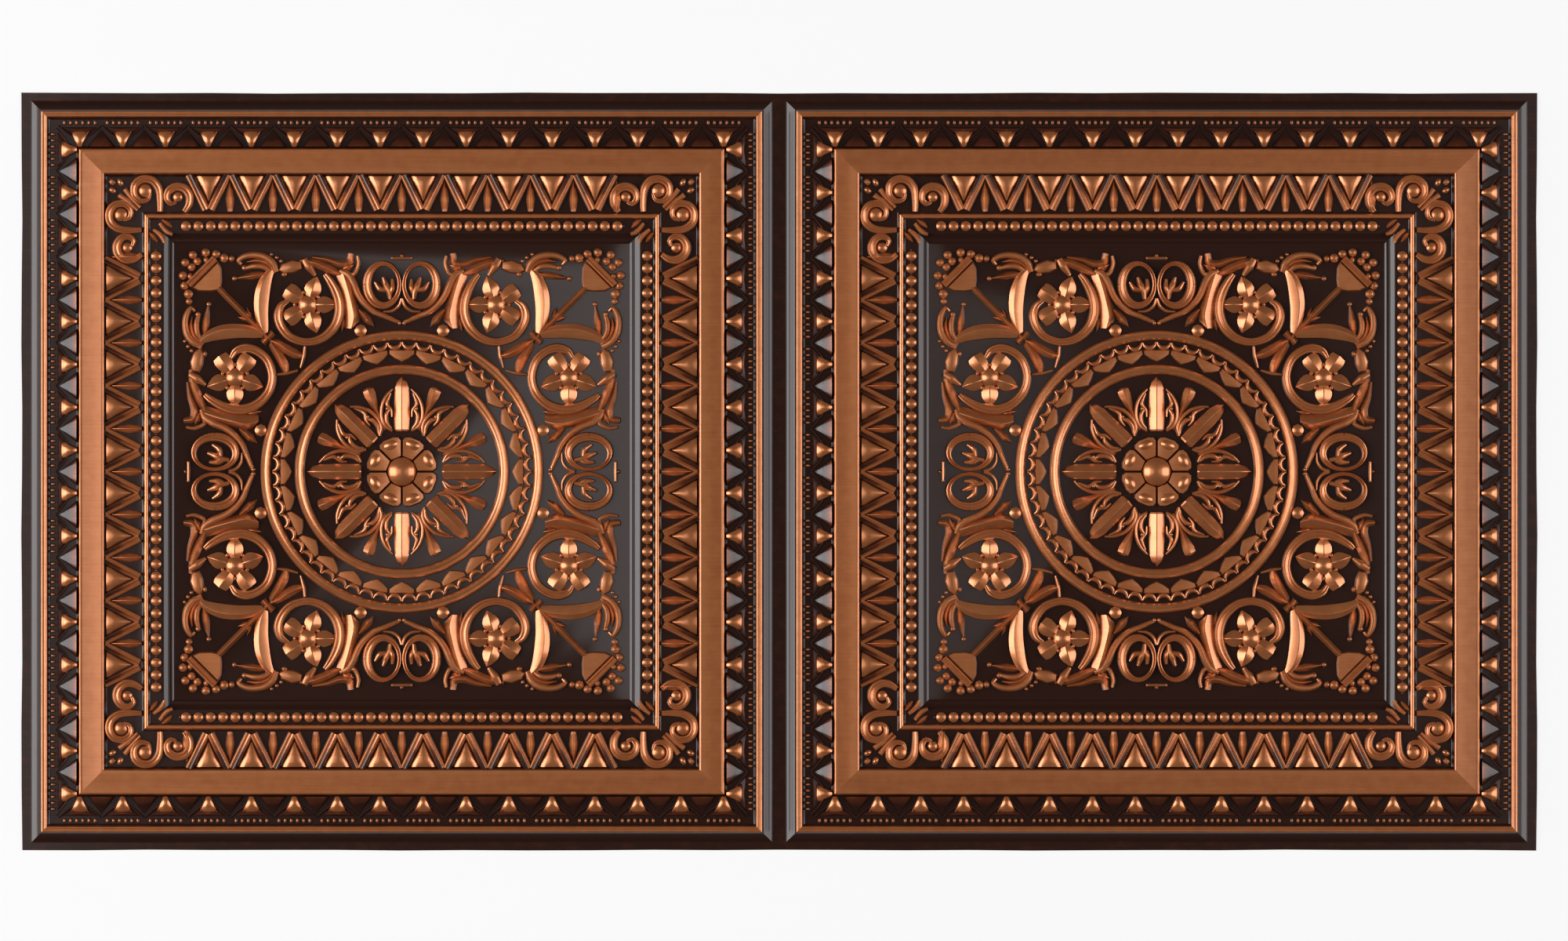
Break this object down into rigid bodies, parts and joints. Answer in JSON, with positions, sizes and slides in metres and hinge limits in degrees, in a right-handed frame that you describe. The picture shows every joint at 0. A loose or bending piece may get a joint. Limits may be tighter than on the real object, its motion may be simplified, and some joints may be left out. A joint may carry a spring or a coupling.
{
  "type": "vinyl ceiling tile",
  "caption": "Thin vacuum-formed vinyl sheet with a flat flange round square coffered fields, each with moulded courses and a ringed medallion.",
  "frame": {"origin": "middle of the underside, on the plane that the flat flange rests on", "axes": "+X along the length through both fields, +Y across the width, +Z out of the decorated face"},
  "size_m": [1.2192, 0.6096, 0.0095],
  "materials": {
    "tile": "antique copper paint over dark brown, rubbed back on the high relief, satin to semi-gloss"
  },
  "bodies": {
    "root": {"ceiling_tile": "tile"}
  },
  "joints": []
}
